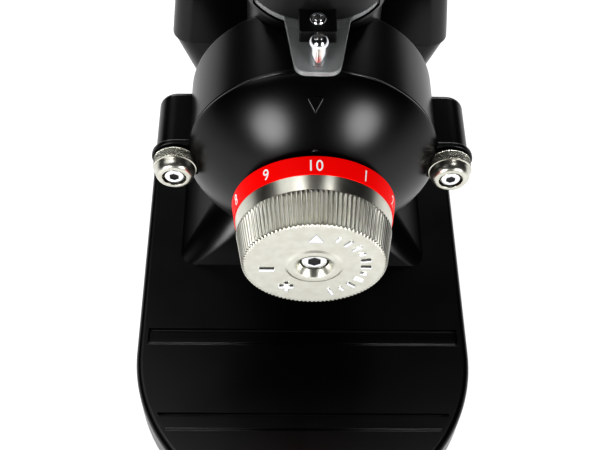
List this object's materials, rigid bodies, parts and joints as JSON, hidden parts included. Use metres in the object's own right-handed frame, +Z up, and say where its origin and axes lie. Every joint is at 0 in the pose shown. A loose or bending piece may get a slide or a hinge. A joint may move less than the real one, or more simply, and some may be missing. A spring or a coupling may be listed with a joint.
{
  "type": "burr coffee grinder",
  "caption": "Electric flat-burr coffee grinder with a horizontal burr axis, domed front cover, numbered dial, bean gate, hopper and a flat base for a cup.",
  "frame": {"origin": "under the middle of the base, on the surface that the feet stand on", "axes": "+Z up, the dial faces -Y, +X is to the right of a viewer who faces the dial"},
  "size_m": [0.146, 0.23, 0.355],
  "materials": {
    "black_paint": "satin black paint",
    "black_plastic": "fine moulded",
    "dial_aluminium": "bead-blasted and turned",
    "red_scale": "printed, white numbers",
    "bright_steel": "bright plated",
    "steel": "machined",
    "burr_steel": "ground tool steel",
    "cast_aluminium": "die cast",
    "laminations": "stacked sheet",
    "copper": "enamelled wire",
    "brass": "turned",
    "clear_plastic": "clear polycarbonate",
    "smoked_plastic": "smoked polycarbonate",
    "rubber": "matt",
    "white_plastic": "moulded"
  },
  "bodies": {
    "housing": {"base_casting": "black_paint", "main_body": "black_paint", "top_cover": "black_paint", "top_cover_screws": "steel", "rear_grille": "black_plastic", "rear_grille_screws": "steel", "bottom_plate": "steel", "bottom_plate_screws": "steel", "rubber_feet": "rubber", "foot_screws": "steel", "burr_housing": "black_paint", "housing_screws": "steel", "chute": "black_plastic", "chute_screws": "steel", "hopper_neck": "black_plastic", "hopper_screw": "bright_steel", "hopper_bowl": "smoked_plastic", "shaft_seal": "rubber", "front_bell": "cast_aluminium", "rear_bell": "cast_aluminium", "stator_core": "laminations", "stator_windings": "copper", "front_bearing": "steel", "rear_bearing": "steel", "through_bolts": "steel", "run_capacitor": "cast_aluminium", "capacitor_clamp": "steel", "terminal_block": "white_plastic", "switch_frame": "black_plastic", "cord_gland": "black_plastic", "gland_nut": "black_plastic"},
    "cover": {"front_cover": "black_paint", "adjuster_bush": "brass", "guide_pins": "steel", "detent_plunger": "brass"},
    "dial": {"dial": "dial_aluminium", "scale_ring": "red_scale", "dial_screw": "bright_steel", "adjusting_screw": "steel"},
    "burr_slide": {"burr_carrier": "cast_aluminium", "fixed_burr": "burr_steel", "fixed_burr_screws": "steel"},
    "rotor": {"motor_shaft": "steel", "rotor_core": "laminations", "cooling_fan": "black_plastic", "feed_auger": "steel", "burr_drive": "cast_aluminium", "rotating_burr": "burr_steel", "rotating_burr_screws": "steel", "shaft_nut": "steel"},
    "gate": {"gate_slide": "clear_plastic", "gate_knob": "bright_steel"},
    "left_washer": {"left_washer": "steel"},
    "left_thumb_screw": {"left_grip": "dial_aluminium", "left_cap_screw": "bright_steel"},
    "right_washer": {"right_washer": "steel"},
    "right_thumb_screw": {"right_grip": "dial_aluminium", "right_cap_screw": "bright_steel"},
    "lid": {"hopper_lid": "black_plastic"},
    "rocker": {"switch_rocker": "black_plastic"}
  },
  "joints": [
    {"name": "cover_pull", "type": "slide", "parent": "housing", "child": "cover", "axis": [0, -1, 0], "range_m": [0, 0.06]},
    {"name": "dial_turn", "type": "hinge", "parent": "cover", "child": "dial", "pos_m": [0, -0.0618, 0.142], "axis": [0, 1, 0], "range_deg": [0, 324]},
    {"name": "burr_travel", "type": "slide", "parent": "cover", "child": "burr_slide", "axis": [0, 1, 0], "range_m": [0, 0.00135]},
    {"name": "rotor_spin", "type": "hinge", "parent": "housing", "child": "rotor", "pos_m": [0, 0.05, 0.142], "axis": [0, 1, 0], "continuous": true},
    {"name": "gate_pull", "type": "slide", "parent": "housing", "child": "gate", "axis": [0, -1, 0], "range_m": [0, 0.03]},
    {"name": "left_screw_turn", "type": "hinge", "parent": "left_washer", "child": "left_thumb_screw", "pos_m": [-0.0475, -0.0346, 0.142], "axis": [0, -1, 0], "range_deg": [0, 4140]},
    {"name": "left_screw_travel", "type": "slide", "parent": "cover", "child": "left_washer", "axis": [0, -1, 0], "range_m": [0, 0.00805]},
    {"name": "right_screw_turn", "type": "hinge", "parent": "right_washer", "child": "right_thumb_screw", "pos_m": [0.0475, -0.0346, 0.142], "axis": [0, -1, 0], "range_deg": [0, 4140]},
    {"name": "right_screw_travel", "type": "slide", "parent": "cover", "child": "right_washer", "axis": [0, -1, 0], "range_m": [0, 0.00805]},
    {"name": "lid_lift", "type": "slide", "parent": "housing", "child": "lid", "axis": [0, 0, 1], "range_m": [0, 0.06]},
    {"name": "rocker_tilt", "type": "hinge", "parent": "housing", "child": "rocker", "pos_m": [0.037, 0.062, 0.075], "axis": [0, -1, 0], "range_deg": [0, 22]}
  ],
  "couplings": [
    {"joint": "dial_turn", "follows": "burr_travel", "rad_per_m": 4188.8},
    {"joint": "left_screw_turn", "follows": "left_screw_travel", "rad_per_m": 8976},
    {"joint": "right_screw_turn", "follows": "right_screw_travel", "rad_per_m": 8976}
  ]
}
